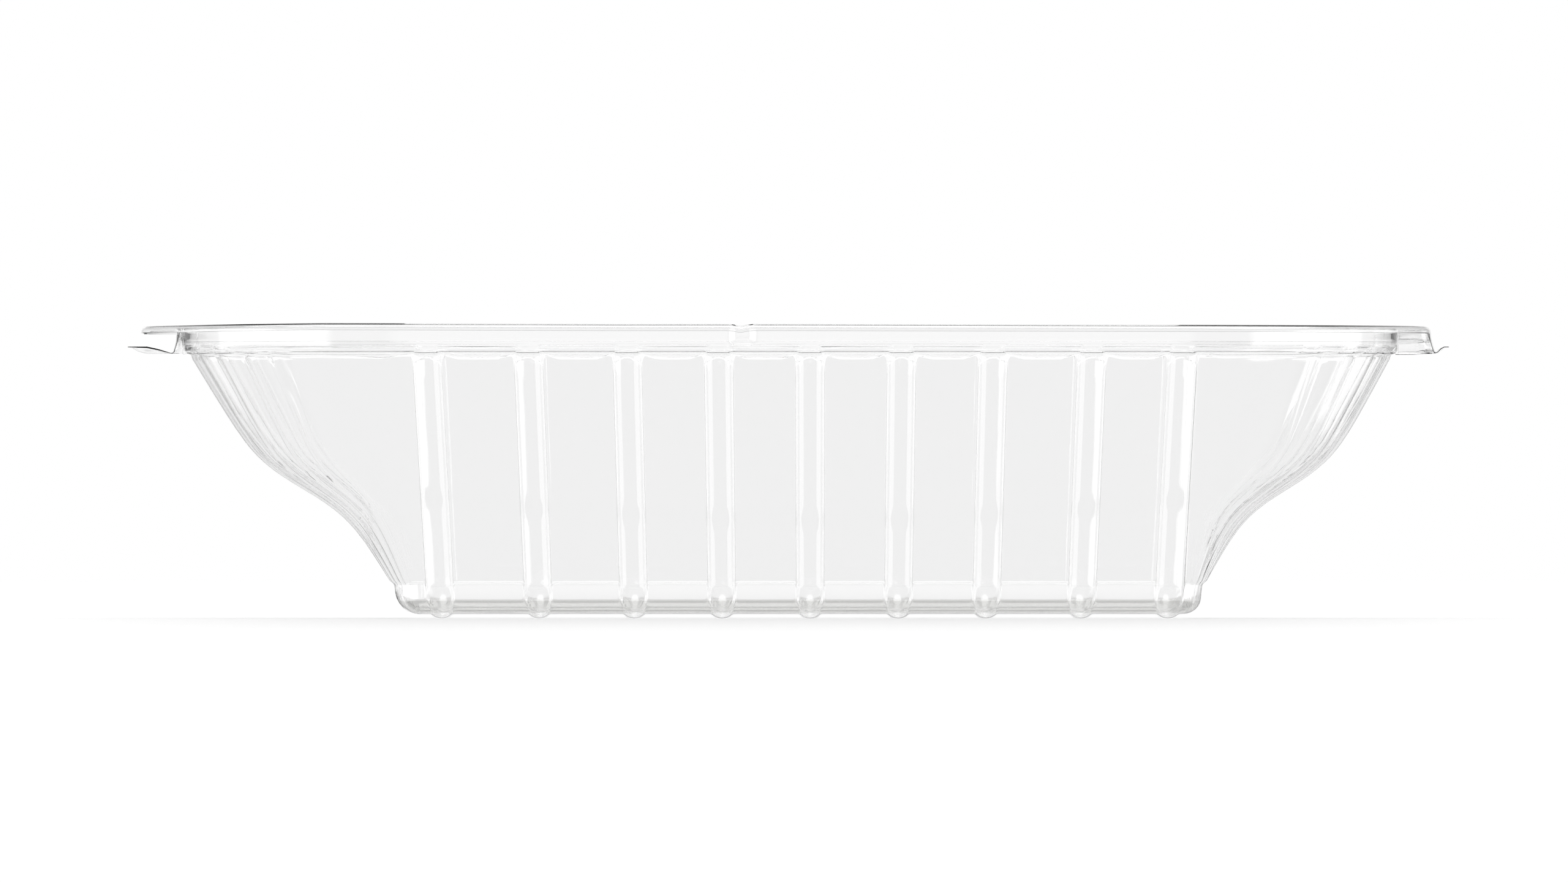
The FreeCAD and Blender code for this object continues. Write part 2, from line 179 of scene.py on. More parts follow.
@dataclass(frozen=True)
class BasinSize:
    """Sizes of the drawn basin, in mm and degrees.

    `rows` holds runs of rows up the wall, each as the height below it, its last height and how
    many rows it has. They stand closest together over the shoulders of the ends.
    """

    foot_height: float = 7.4
    ledge_height: float = 54.3
    foot_reach: float = 82.7
    foot_half_width: float = 38.6
    foot_shift: float = 2.0
    mouth_shift: float = 0.4
    end_slope: float = 0.57
    side_slope: float = 0.265
    end_step: float = 12.7
    shoulder_height: float = 26.4
    shoulder_spread: float = 3.0
    foot_corner: float = 7.7
    flute_depth: float = 0.022
    flutes_left: tuple[float, ...] = (0.0, 13.5, 27.0, 39.0, 48.5, 58.0)
    flutes_right: tuple[float, ...] = (0.0, 9.0, 20.0, 31.0, 44.0, 57.0)
    flute_steps: int = 9
    wave_depth: float = 0.22
    wave_width: float = 4.0
    wave_length: float = 45.0
    wave_centre: tuple[float, float] = (75.0, 10.0)
    wave_heights: tuple[float, float] = (16.0, 40.0)
    wave_angles: tuple[float, float] = (6.0, 22.0)
    kink: float = 0.3
    kink_height: float = 20.5
    kink_rise: float = 5.0
    kink_spread: float = 0.55
    kink_reach: float = 80.0
    rows: tuple[tuple[float, float, int], ...] = (
        (8.2, 18.0, 4),
        (18.0, 36.0, 13),
        (36.0, 52.35, 6),
    )


@dataclass(frozen=True)
class FootSize:
    """Sizes of the foot under the basin, in mm and degrees.

    `crease_rows` are heights with how far the foot has turned into the wall there.
    """

    panel_height: float = 0.95
    set_in: float = 0.5
    draft: float = 6.0
    fillet_side: float = 3.4
    fillet_left: float = 5.0
    fillet_right: float = 3.5
    border: float = 0.35
    flat_half_width: float = 31.0
    fillet_rows: int = 6
    least_radius: float = 0.6
    crease_rows: tuple[tuple[float, float], ...] = (
        (6.3, 0.0),
        (6.75, 0.04),
        (7.1, 0.3),
        (7.4, 0.7),
        (7.75, 0.97),
        (8.2, 1.0),
    )


@dataclass(frozen=True)
class HoopSize:
    """Sizes of the hoops that wrap the long walls and the base, in mm.

    `offsets` are the stations on each side of a hoop's middle line, and `reach` is how far from
    that line the hoop still lifts the wall.
    """

    radius: float = 3.0
    proud: float = 2.2
    bend: float = 6.0
    flat: float = 0.08
    centre: float = 4.4
    bays: tuple[float, ...] = (19.85, 19.35, 17.9, 17.9, 17.9, 17.9, 19.35, 17.65)
    fan: float = 0.00073
    blend: float = 0.16
    reach: float = 4.5
    offsets: tuple[float, ...] = (0.0, 0.55, 1.05, 1.5, 1.9, 2.22, 2.5, 2.7, 2.84, 2.95, 3.1, 3.4)
    bay_steps: int = 5
    pocket_bay: int = 3
    pocket_steps: int = 20


@dataclass(frozen=True)
class RimSize:
    """Sizes of the ledge, the riser, the rim and its turned edge, in mm.

    `sag` is how far the rim's top lies below its highest place, by place along X.
    """

    top: float = 60.0
    sheet: float = 0.5
    ledge_side: float = 3.0
    ledge_end: float = 1.8
    fillet_bay: float = 1.35
    fillet_rib: float = 1.15
    fillet_tip: float = 0.5
    ledge_rise: float = 0.3
    riser_foot: float = 0.9
    mouth: float = 0.6
    mouth_lug: float = 0.3
    land_left: float = 8.67
    land_right: float = 6.8
    land_side: float = 3.47
    corner: float = 46.0
    turn: float = 0.8
    drop: float = 1.45
    bead: float = 0.12
    bead_height: float = 55.5
    bead_width: float = 0.25
    bead_wander: float = 0.25
    wander_length: float = 14.0
    pocket_place: float = -9.3
    pocket_width: float = 5.4
    pocket_depth: float = 1.3
    pocket_height: float = 56.0
    pocket_edge: float = 0.35
    dip: float = 0.35
    dip_place: float = -9.7
    dip_width: float = 1.3
    riser_rows: tuple[float, ...] = (55.2, 55.5, 55.8, 56.2, 57.0, 58.0)
    sag: tuple[tuple[float, float], ...] = (
        (-132.0, 0.62),
        (-127.0, 0.52),
        (-114.0, 0.36),
        (-101.5, 0.15),
        (-89.0, 0.0),
        (-61.0, 0.08),
        (-36.0, 0.16),
        (0.0, 0.15),
        (39.0, 0.24),
        (76.0, 0.34),
        (120.0, 0.44),
        (126.0, 0.56),
    )


@dataclass(frozen=True)
class LugSize:
    """Sizes of the lug and pull tab in the middle of each end, in mm."""

    half_width: float = 18.0
    root_left: float = 1.1
    root_right: float = 6.8
    slant: float = 1.2
    sag_place: float = 126.0
    sag_share: float = 0.8
    tab_proud: float = 2.37
    tab_height: float = 53.95
    tab_rise: float = 1.3
    tab_curl: float = 3.4
    tab_corner: float = 3.0
    tab_steps: tuple[float, ...] = (0.3, 0.55, 0.75, 0.9, 1.0)
    bend: float = 0.7
    face_steps: tuple[float, ...] = (0.3, 0.6, 0.85)
    foot_curve: tuple[tuple[float, float], ...] = ((0.12, 0.32), (0.42, 0.08), (0.8, 0.0))
    settle_rows: int = 4
    free_edge: float = 0.1


@dataclass(frozen=True)
class LugLine:
    """The line of a lug's inner face, from the land down and out to the tab's tip, in mm.

    `points` are (reach, height) pairs after the first row. `face_row` is the row where the face
    starts and `tab_row` the one where the tab does.
    """

    points: list[tuple[float, float]]
    face_row: int
    tab_row: int


@dataclass(frozen=True)
class DrawSize:
    """What the draw leaves of the sheet, as shares of its thickness, with heights in mm."""

    wall: float = 0.3
    full_from: tuple[float, float] = (56.8, 58.0)
    hoop_flank: float = 0.3
    hoop_heights: tuple[float, float] = (5.0, 53.0)
    hoop_margin: float = 8.0


# ---------------------------------------------------------------- the form of the sheet


class Basin:
    """The drawn basin: its plan at each height and where each station crosses it."""

    def __init__(self, size: BasinSize, hoops: HoopSize) -> None:
        """Keeps the sizes and works out where the hoops stand."""
        self.size = size
        self.hoops = hoops
        place = hoops.centre - sum(hoops.bays[: len(hoops.bays) // 2])
        self.places = [place]
        for bay in hoops.bays:
            place += bay
            self.places.append(place)

    def plan(self, height: float) -> Plan:
        """The basin's plan at a height, without the flutes and the kink."""
        size = self.size
        rise = height - size.foot_height
        shoulder = logistic((height - size.shoulder_height) / size.shoulder_spread)
        reach = size.foot_reach + size.end_slope * rise + size.end_step * shoulder
        share = rise / (size.ledge_height - size.foot_height)
        shift = mix(size.foot_shift, size.mouth_shift, share)
        radius = reach - (size.foot_reach - size.foot_corner)
        half_width = size.foot_half_width + size.side_slope * rise
        return Plan(reach - shift, reach + shift, half_width, radius)

    def stations(self) -> list[Station]:
        """The stations round the whole sheet, from the middle of the -X end past the near wall.

        Returns:
            A closed run: the last station is followed by the first.
        """
        near = self._end_stations(-1)[::-1] + self._wall_stations() + self._end_stations(1)
        far = [Station(s.zone, s.end, 1, s.place) for s in near[::-1]]
        return near + [s for s in far if s.zone is not Zone.END or s.place > 0.0]

    def _end_stations(self, end: int) -> list[Station]:
        """The near stations of one end, from the long wall to the middle of the end."""
        size = self.size
        valleys = size.flutes_left if end < 0 else size.flutes_right
        stations = [Station(Zone.TURN, end, -1, share) for share in (0.75, 0.5, 0.25)]
        angles = []
        for low, high in zip(valleys, valleys[1:]):
            angles += [mix(low, high, n / size.flute_steps) for n in range(size.flute_steps)]
        angles.append(valleys[-1])
        stations += [Station(Zone.CORNER, end, -1, angle) for angle in angles[::-1]]
        stations += [Station(Zone.END, end, -1, share) for share in (0.8, 0.6, 0.4, 0.2, 0.0)]
        return stations

    def _wall_stations(self) -> list[Station]:
        """The stations of the near wall, from -X to +X."""
        offsets = self.hoops.offsets
        around = [-o for o in offsets[:0:-1]] + list(offsets)
        places = []
        for number, place in enumerate(self.places):
            places += [place + offset for offset in around]
            if number < len(self.hoops.bays):
                clear = self.hoops.bays[number] - 2 * offsets[-1]
                pocket = number == self.hoops.pocket_bay
                steps = self.hoops.pocket_steps if pocket else self.hoops.bay_steps
                start = place + offsets[-1]
                places += [start + clear * n / steps for n in range(1, steps)]
        return [Station(Zone.WALL, 0, -1, place) for place in places]

    def lean(self, place: float, height: float) -> float:
        """How far a station of the wall has moved along X at a height."""
        return self.hoops.fan * (place - self.hoops.centre) * (height - self.hoops.radius)

    def across(self, station: Station) -> float:
        """How far a wall station stands from the nearest hoop's middle line, in mm."""
        nearest = min(self.places, key=lambda place: abs(place - station.place))
        return station.place - nearest

    def point(self, plan: Plan, station: Station, height: float, fluted: float = 1.0) -> Vector:
        """Where a station crosses a plan.

        Args:
            plan: the plan.
            station: the station.
            height: the height, for the lean of the hoops.
            fluted: how much of the flutes' bulge this plan has.

        Returns:
            The point in mm, at that height.
        """
        side = station.side
        if station.zone is Zone.WALL:
            x = station.place + self.lean(station.place, height)
            end = 1 if x > 0 else -1
            extent = plan.right if end > 0 else plan.left
            beyond = abs(x) - (extent - plan.radius)
            beyond = min(beyond, 0.97 * plan.radius)
            if beyond <= 0:
                return Vector((x, side * plan.half_width, height))
            x = end * (extent - plan.radius + beyond)
            y = plan.half_width - plan.radius + math.sqrt(plan.radius**2 - beyond**2)
            return Vector((x, side * y, height))
        if station.zone is Zone.END:
            extent = plan.right if station.end > 0 else plan.left
            y = (plan.half_width - plan.radius) * station.place
            return Vector((station.end * extent, side * y, height))
        return self._corner_point(plan, station, height, fluted)

    def _corner_point(self, plan: Plan, station: Station, height: float, fluted: float) -> Vector:
        """Where a station of a corner, or of the turn into the long wall, crosses a plan."""
        side = station.side
        centre = (plan.right if station.end > 0 else plan.left) - plan.radius
        valleys = self.size.flutes_left if station.end < 0 else self.size.flutes_right
        edge = self.places[0] if station.end < 0 else self.places[-1]
        edge += station.end * self.hoops.offsets[-1]
        beyond = abs(edge + self.lean(edge, height)) - centre
        last = math.acos(min(max(beyond, 0.0) / plan.radius, 0.97))
        # low on the foot the last hoop takes most of the corner, so the flutes close up
        turned = min(math.radians(valleys[-1]), 0.8 * last)
        if station.zone is Zone.TURN:
            straight = max(0.0, -beyond)
            arc = plan.radius * (last - turned)
            run = station.place * (arc + straight)
            if run > arc:
                x = centre - (run - arc)
                return Vector((station.end * x, side * plan.half_width, height))
            angle = turned + run / plan.radius
            spoke = plan.radius
        else:
            angle = turned * station.place / valleys[-1]
            spoke = plan.radius * (1 + fluted * self.bulge(valleys, station.place))
        x = centre + spoke * math.cos(angle)
        y = plan.half_width - plan.radius + spoke * math.sin(angle)
        return Vector((station.end * x, side * y, height))

    def bulge(self, valleys: tuple[float, ...], angle: float) -> float:
        """The bulge of the flutes at an angle, as a share of the corner's radius."""
        for low, high in zip(valleys, valleys[1:]):
            if low <= angle <= high:
                share = (angle - low) / (high - low)
                return self.size.flute_depth * math.sin(math.pi * share)
        return 0.0

    def kink(self, place: float, height: float) -> float:
        """The slight break in the long walls, lowest in the middle of the tray."""
        size = self.size
        away = abs(place - self.hoops.centre) / size.kink_reach
        middle = size.kink_height + size.kink_rise * away**2
        step = logistic((height - middle) / size.kink_spread)
        share = (height - size.foot_height) / (size.ledge_height - size.foot_height)
        return size.kink * (step - min(max(share, 0.0), 1.0))


class HoopPath:
    """The bent line that a hoop's section follows, in the plane across the tray."""

    def __init__(self, basin: BasinSize, hoops: HoopSize) -> None:
        """Works out the middle of the bend and the wall's direction."""
        self.hoops = hoops
        slope = math.atan(basin.side_slope)
        self.normal = (math.cos(slope), -math.sin(slope))
        buried = (hoops.radius - hoops.proud) / math.cos(slope)
        low = hoops.radius - hoops.flat
        # the bend's middle stands the bend's radius inside both the wall's line and the base's
        self.z = low + hoops.bend
        wall = basin.foot_half_width + basin.side_slope * (self.z - basin.foot_height) - buried
        self.y = wall - hoops.bend / math.cos(slope)

    def distance(self, y: float, z: float) -> float:
        """How far a point stands outside the line."""
        dy, dz = y - self.y, z - self.z
        ny, nz = self.normal
        bend = self.hoops.bend
        if dy <= 0 and dz < 0:
            return -dz - bend
        if dy * -nz - dz * -ny > 0 and dy > 0 or dz > 0:
            above = dy * -nz + dz * ny
            if above >= 0:
                return dy * ny + dz * nz - bend
        return math.hypot(dy, dz) - bend

    def displacement(self, across: float, y: float, z: float, ny: float, nz: float) -> float:
        """How far the sheet stands out over a hoop.

        Args:
            across: distance along X from the hoop's middle line.
            y: distance of the plain sheet's point from the tray's middle plane.
            z: its height.
            ny: outward part of the plain sheet's normal.
            nz: upward part of that normal.

        Returns:
            The distance along the normal, zero away from the hoops.
        """
        hoops = self.hoops
        inside = hoops.radius**2 - across**2
        height = math.sqrt(inside) if inside > 0 else -4.0 * (abs(across) - hoops.radius)
        rise = 0.0
        for _ in range(5):
            rise += height - self.distance(y + rise * ny, z + rise * nz)
        return (rise + math.sqrt(rise**2 + hoops.blend**2)) / 2


class ClearTray:
    """The tray: one drawn sheet from the bottom panel up to the turned edge of its rim."""

    weld = 0.004  # mm between corners that are one

    def __init__(
        self,
        basin: BasinSize,
        foot: FootSize,
        hoops: HoopSize,
        rim: RimSize,
        lug: LugSize,
        draw: DrawSize,
    ) -> None:
        """Keeps the sizes and the stations round the sheet."""
        self.basin = Basin(basin, hoops)
        self.path = HoopPath(basin, hoops)
        self.foot = foot
        self.rim = rim
        self.lug = lug
        self.draw = draw
        self.stations = self.basin.stations()
        self.middle = min(
            (s for s in self.stations if s.zone is Zone.WALL and s.side < 0),
            key=lambda s: abs(s.place),
        )

    # ------------------------------------------------------------ rows

    def fillet(self, station: Station) -> float:
        """The radius of the foot's lower edge at a station."""
        foot = self.foot
        if station.zone in (Zone.WALL, Zone.TURN):
            return foot.fillet_side
        end = foot.fillet_left if station.end < 0 else foot.fillet_right
        if station.zone is Zone.END:
            return end
        return mix(end, foot.fillet_side, smooth_step(15.0, 55.0, station.place))

    def raised(self, station: Station, point: Vector, ny: float, nz: float) -> Vector:
        """The point of the sheet over a point of the plain wall, with hoops and unevenness.

        Args:
            station: the station.
            point: the plain sheet's point.
            ny: outward part of its normal.
            nz: upward part of its normal.

        Returns:
            The point, never below the table.
        """
        if station.zone is Zone.WALL:
            across = self.basin.across(station)
            rise = 0.0
            if abs(across) < self.basin.hoops.reach:
                rise = self.path.displacement(across, abs(point.y), point.z, ny, nz)
            out = Vector((0.0, station.side * ny, nz)) * rise
            out.y += station.side * self.basin.kink(station.place, point.z)
        else:
            out = self.waviness(station, point)
        moved = point + out
        moved.z = max(moved.z, 0.0)
        return moved

    def waviness(self, station: Station, point: Vector) -> Vector:
        """The slow waves of the flutes, which fade towards the foot and the middle of the end."""
        size = self.basin.size
        x, y = size.wave_centre
        away = (point - Vector((station.end * x, station.side * y, point.z))).normalized()
        angle = math.degrees(math.atan2(abs(away.y), abs(away.x)))
        grade = smooth_step(*size.wave_heights, point.z) * smooth_step(*size.wave_angles, angle)
        # far apart in the noise, so that the four corners differ
        round_corner = station.end * (20.0 + station.side * angle / size.wave_width)
        wave = noise.noise(Vector((round_corner, point.z / size.wave_length, 0.5)))
        return away * (size.wave_depth * wave * grade)

    def foot_rows(self) -> list[list[Vector]]:
        """The rows from the panel's border up to the crease under the basin."""
        foot, basin = self.foot, self.basin
        draft = math.radians(foot.draft)
        height = basin.size.foot_height
        sharp_in = foot.set_in + (height - foot.panel_height) * math.tan(draft)
        crease = basin.plan(height)
        rows = []
        steps = foot.fillet_rows
        turn = math.pi / 2 - draft
        for n in range(-1, steps + 1):
            angle = max(n, 0) * turn / steps
            border = foot.border if n < 0 else 0.0
            row = []
            for station in self.stations:
                radius = self.fillet(station)
                set_in = radius * math.tan(turn / 2) - radius * math.sin(angle) + border
                z = foot.panel_height + radius * (1 - math.cos(angle))
                plan = crease.set_in(sharp_in + set_in, sharp_in + set_in, sharp_in + set_in)
                radius = max(plan.radius, foot.least_radius)
                plan = Plan(plan.left, plan.right, plan.half_width, radius)
                point = basin.point(plan, station, z, fluted=0.0)
                row.append(self.raised(station, point, math.sin(angle), -math.cos(angle)))
            rows.append(row)
        for z, share in foot.crease_rows:
            row = []
            below = foot.set_in + max(height - z, 0.0) * math.tan(draft)
            plan = basin.plan(z)
            low = crease.set_in(below, below, below)
            for station in self.stations:
                a = basin.point(low, station, z, fluted=share)
                b = basin.point(plan, station, z, fluted=share)
                slope = mix(draft, math.atan(basin.size.side_slope), share)
                point = a.lerp(b, share)
                row.append(self.raised(station, point, math.cos(slope), -math.sin(slope)))
            rows.append(row)
        return rows

    def wall_row(self, z: float) -> list[Vector]:
        """The row of the basin's wall at a height."""
        slope = math.atan(self.basin.size.side_slope)
        plan = self.basin.plan(z)
        row = []
        for station in self.stations:
            point = self.basin.point(plan, station, z)
            row.append(self.raised(station, point, math.cos(slope), -math.sin(slope)))
        return row

    def ledge_fillet(self, station: Station) -> float:
        """The radius between the wall and the ledge at a station."""
        rim = self.rim
        if station.zone is not Zone.WALL:
            return rim.fillet_rib
        across = abs(self.basin.across(station))
        radius = self.basin.hoops.radius
        base = rim.fillet_rib if across < radius else rim.fillet_bay
        away = (across - radius) / (0.9 if across < radius else 1.6)
        return base - (base - rim.fillet_tip) * math.exp(-(away**2))

    def sag(self, x: float) -> float:
        """How far the rim has sagged at a place along X, with the small dip by the pocket."""
        rim = self.rim
        dip = rim.dip * math.exp(-(((x - rim.dip_place) / rim.dip_width) ** 2))
        return along_table(rim.sag, x) + dip

    def pocket(self, station: Station, x: float, z: float) -> float:
        """How far the small pocket presses the near riser out."""
        rim = self.rim
        if station.side > 0 or station.zone is not Zone.WALL:
            return 0.0
        half = rim.pocket_width / 2
        box = 1 - smooth_step(half - 1.5, half + 0.3, abs(x - rim.pocket_place))
        low, high = rim.pocket_height - rim.pocket_edge, rim.pocket_height + rim.pocket_edge
        rise = smooth_step(low, high, z)
        return rim.pocket_depth * box * rise

    def riser_plan(self) -> Plan:
        """The plan of the riser round the mouth."""
        rim = self.rim
        wall = self.basin.plan(self.basin.size.ledge_height)
        return wall.set_in(-rim.ledge_end, -rim.ledge_end, -rim.ledge_side)

    def edge_plan(self) -> Plan:
        """The plan of the inner face of the rim's turned edge."""
        rim = self.rim
        riser = self.riser_plan()
        thick = rim.sheet
        return Plan(
            riser.left + rim.land_left - thick,
            riser.right + rim.land_right - thick,
            riser.half_width + rim.land_side - thick,
            rim.corner - thick,
        )

    def rim_rows(self) -> tuple[list[list[Vector]], int]:
        """The rows from the top of the wall over the ledge and riser to the turned edge.

        Returns:
            The rows, and the number of the row on the land next to the mouth.
        """
        rim, basin = self.rim, self.basin
        riser_plan, edge_plan = self.riser_plan(), self.edge_plan()
        columns = []
        for station in self.stations:
            riser = basin.point(riser_plan, station, basin.size.ledge_height, fluted=0.0)
            edge = basin.point(edge_plan, station, rim.top, fluted=0.0)
            column = self._ledge(station, riser)
            column += self._riser(station, riser, edge)
            column += self._land(station, riser, edge)
            columns.append(column)
        rows = [list(row) for row in zip(*columns)]
        # seven rows follow the land's first: its middle, five round the turn, and the edge
        return rows, len(rows) - 8

    def _ledge(self, station: Station, riser: Vector) -> list[Vector]:
        """A station's points from the top of the wall over the ledge to the riser's foot."""
        rim, basin = self.rim, self.basin
        ledge_z = basin.size.ledge_height
        slope = math.atan(basin.size.side_slope)
        radius = self.ledge_fillet(station)
        start_z = ledge_z - rim.ledge_rise - radius
        wall = basin.point(basin.plan(start_z), station, start_z)
        start = self.raised(station, wall, math.cos(slope), -math.sin(slope))
        out = Vector((riser.x - start.x, riser.y - start.y, 0.0))
        width = out.length
        out.normalize()
        run = min(radius, 0.72 * width)
        foot = min(rim.riser_foot, width - run)
        column = []
        for n in range(6):
            angle = n * math.pi / 10
            point = start + out * (run * (1 - math.cos(angle)))
            point.z = start_z + radius * math.sin(angle)
            column.append(point)
        for n in range(4):
            angle = n * math.pi / 6
            point = riser - out * (foot * (1 - math.sin(angle)))
            point.z = ledge_z - 0.1 + (foot + 0.1) * (1 - math.cos(angle))
            if n or (point - column[-1]).length > 0.02:
                column.append(point)
            else:
                column.append(column[-1].lerp(point, 0.5))
        return column

    def _riser(self, station: Station, riser: Vector, edge: Vector) -> list[Vector]:
        """A station's points up the riser, with its bead and the pocket."""
        rim = self.rim
        land = Vector((edge.x - riser.x, edge.y - riser.y, 0.0)).normalized()
        place = Vector((riser.x / rim.wander_length, riser.y / rim.wander_length, 3.0))
        wander = rim.bead_wander * noise.noise(place)
        column = []
        for z in rim.riser_rows:
            above = (z - rim.bead_height - wander) / rim.bead_width
            bead = rim.bead * math.exp(-(above**2))
            point = riser + land * (bead + self.pocket(station, riser.x, z))
            point.z = z
            column.append(point)
        return column

    def _land(self, station: Station, riser: Vector, edge: Vector) -> list[Vector]:
        """A station's points from the mouth over the land and round the turned edge."""
        rim = self.rim
        land = Vector((edge.x - riser.x, edge.y - riser.y, 0.0))
        span = land.length
        land.normalize()
        under = rim.top - rim.sheet - self.sag(riser.x)
        pocket = self.pocket(station, riser.x, rim.top)
        mouth = min(rim.mouth, 0.3 * (span - pocket))
        if station.end < 0 and self.in_lug(station):
            mouth = rim.mouth_lug
        column = []
        for n in range(4):
            angle = n * math.pi / 6
            point = riser + land * (pocket + mouth * (1 - math.cos(angle)))
            point.z = under - mouth * (1 - math.sin(angle))
            column.append(point)
        turn = min(rim.turn, span - pocket - mouth - 0.05)
        corner = edge - land * turn
        corner.z = under
        column.append(column[-1].lerp(corner, 0.5))
        for n in range(5):
            angle = n * math.pi / 8
            point = edge - land * (turn * (1 - math.sin(angle)))
            point.z = under - turn * (1 - math.cos(angle))
            column.append(point)
        point = edge.copy()
        point.z = under + rim.sheet - rim.drop
        column.append(point)
        return column

    # ------------------------------------------------------------ mesh

    def in_lug(self, station: Station) -> bool:
        """Whether a station of an end belongs to the lug."""
        return station.zone is Zone.END or (
            station.zone is Zone.CORNER and station.place <= self.lug_angle(station.end) + 1e-6
        )

    def lug_angle(self, end: int) -> float:
        """The corner station nearest to the lug's side, in degrees."""
        plan = self.edge_plan()
        reach = (self.lug.half_width - (plan.half_width - plan.radius)) / plan.radius
        wanted = math.degrees(math.asin(reach))
        angles = [s.place for s in self.stations if s.zone is Zone.CORNER and s.end == end]
        return min(angles, key=lambda angle: abs(angle - wanted))

    def lug_line(self, end: int, riser: float, mouth: float) -> LugLine:
        """The line of the lug's inner face from the land down and out to the tab's tip.

        Args:
            end: -1 or 1 along X.
            riser: how far the riser stands out.
            mouth: how far the first row stands out.

        Returns:
            The line's points and where its face and its tab start.
        """
        lug, rim = self.lug, self.rim
        top = rim.top - rim.sheet - self.sag(end * lug.sag_place) * lug.sag_share
        face = riser + (lug.root_left if end < 0 else lug.root_right) - rim.sheet
        bend = min(lug.bend, 0.9 * (face - mouth))
        foot = face + lug.slant
        low = lug.tab_height
        points = [] if face - bend - mouth < 0.3 else [((mouth + face - bend) / 2, top)]
        face_row = len(points) + 1
        for n in range(5):
            angle = n * math.pi / 8
            points.append((face - bend * (1 - math.sin(angle)), top - bend * (1 - math.cos(angle))))
        for share in lug.face_steps:
            points.append((mix(face, foot, share), mix(top - bend, low + 0.6, share)))
        points += [(foot + out, low + up) for out, up in lug.foot_curve]
        tab_row = len(points)
        start = points[-1][0]
        tip = self.riser_plan().left + rim.land_left + lug.tab_proud
        points += [(start + (tip - start) * share, low) for share in lug.tab_steps]
        return LugLine(points, face_row, tab_row)

    def build(self, finish: bpy.types.Material) -> bpy.types.Object:
        """Makes the sheet as one object.

        Args:
            finish: the material.

        Returns:
            The tray.
        """
        rows = self.foot_rows()
        for low, high, steps in self.basin.size.rows:
            rows += [self.wall_row(mix(low, high, n / steps)) for n in range(1, steps + 1)]
        rim_rows, land_row = self.rim_rows()
        land_row += len(rows)
        rows += rim_rows
        mesh = bpy.data.meshes.new("clear_tray")
        shape = bmesh.new()
        self.draw_map = shape.loops.layers.uv.new("draw")
        self.rounds = self._lengths(rows[land_row] + rows[land_row][:1])
        self.ups = self._lengths([row[self.stations.index(self.middle)] for row in rows])
        self._ring(shape, rows, land_row)
        self._panel(shape, rows[0])
        for end in (-1, 1):
            self._lug(shape, rows[land_row], end)
        bmesh.ops.remove_doubles(shape, verts=shape.verts, dist=self.weld)
        self._close_panel(shape)
        bmesh.ops.recalc_face_normals(shape, faces=shape.faces)
        lowest = min(shape.faces, key=lambda face: face.calc_center_median().z)
        if lowest.normal.z > 0:
            bmesh.ops.reverse_faces(shape, faces=shape.faces)
        for face in shape.faces:
            face.smooth = True
        bmesh.ops.scale(shape, vec=(MM, MM, MM), verts=shape.verts)
        shape.to_mesh(mesh)
        shape.free()
        mesh.materials.append(finish)
        tray = bpy.data.objects.new("clear_tray", mesh)
        bpy.context.collection.objects.link(tray)
        self._thicken(tray)
        LOG.info(
            "clear tray: %d stations, %d rows, %d faces",
            len(self.stations),
            len(rows),
            len(mesh.polygons),
        )
        return tray

    def _thicken(self, tray: bpy.types.Object) -> None:
        """Gives the sheet its thickness, which the draw leaves thinner on the walls."""
        draw = self.draw
        drawn = tray.vertex_groups.new(name="drawn")
        reach = max(abs(place) for place in self.basin.places) + draw.hoop_margin
        low, high = draw.hoop_heights
        for vert in tray.data.vertices:
            x, _, z = vert.co / MM
            left = mix(draw.wall, 1.0, smooth_step(*draw.full_from, z))
            # the flanks of the hoops are drawn thinner than their crowns
            if abs(x) < reach and low < z < high:
                left *= max(abs(vert.normal.y), draw.hoop_flank)
            drawn.add([vert.index], left, "REPLACE")
        thickness = tray.modifiers.new("sheet", "SOLIDIFY")
        thickness.vertex_group = drawn.name
        thickness.thickness = self.rim.sheet * MM
        thickness.offset = -1.0
        thickness.use_quality_normals = True

    def _lengths(self, points: list[Vector]) -> list[float]:
        """The distance along a run of points, at each of them."""
        lengths = [0.0]
        for a, b in zip(points, points[1:]):
            lengths.append(lengths[-1] + (b - a).length)
        return lengths

    def _grid(
        self, shape: bmesh.types.BMesh, across: int, up: int
    ) -> list[tuple[bmesh.types.BMVert, int, int]]:
        """Adds a grid.

        Args:
            shape: the mesh.
            across: how many faces wide.
            up: how many faces high.

        Returns:
            Each of its vertices with its column and row.
        """
        grid = bmesh.ops.create_grid(shape, x_segments=across, y_segments=up, size=0.5)
        cells = []
        for vert in grid["verts"]:
            column, row = round((vert.co.x + 0.5) * across), round((vert.co.y + 0.5) * up)
            cells.append((vert, column, row))
        return cells

    def _map(self, cells: dict[bmesh.types.BMVert, tuple[float, float]]) -> None:
        """Writes the draw map: how far round and how far up the sheet, in mm."""
        for vert, place in cells.items():
            for loop in vert.link_loops:
                loop[self.draw_map].uv = place

    def _ring(self, shape: bmesh.types.BMesh, rows: list[list[Vector]], land_row: int) -> None:
        """Lays a grid along the rows and takes away what the lugs replace."""
        across = len(self.stations)
        cells = {}
        for vert, column, row in self._grid(shape, across, len(rows) - 1):
            cells[vert] = (column, row)
            vert.co = rows[row][column % across]
        self._map({v: (self.rounds[column], self.ups[row]) for v, (column, row) in cells.items()})
        lugs = {n for n, station in enumerate(self.stations) if self.in_lug(station)}
        gone = []
        for face in shape.faces:
            places = [cells[vert] for vert in face.verts]
            beyond = min(row for _, row in places) >= land_row
            if beyond and all(column % across in lugs for column, _ in places):
                gone.append(face)
        bmesh.ops.delete(shape, geom=gone, context="FACES")

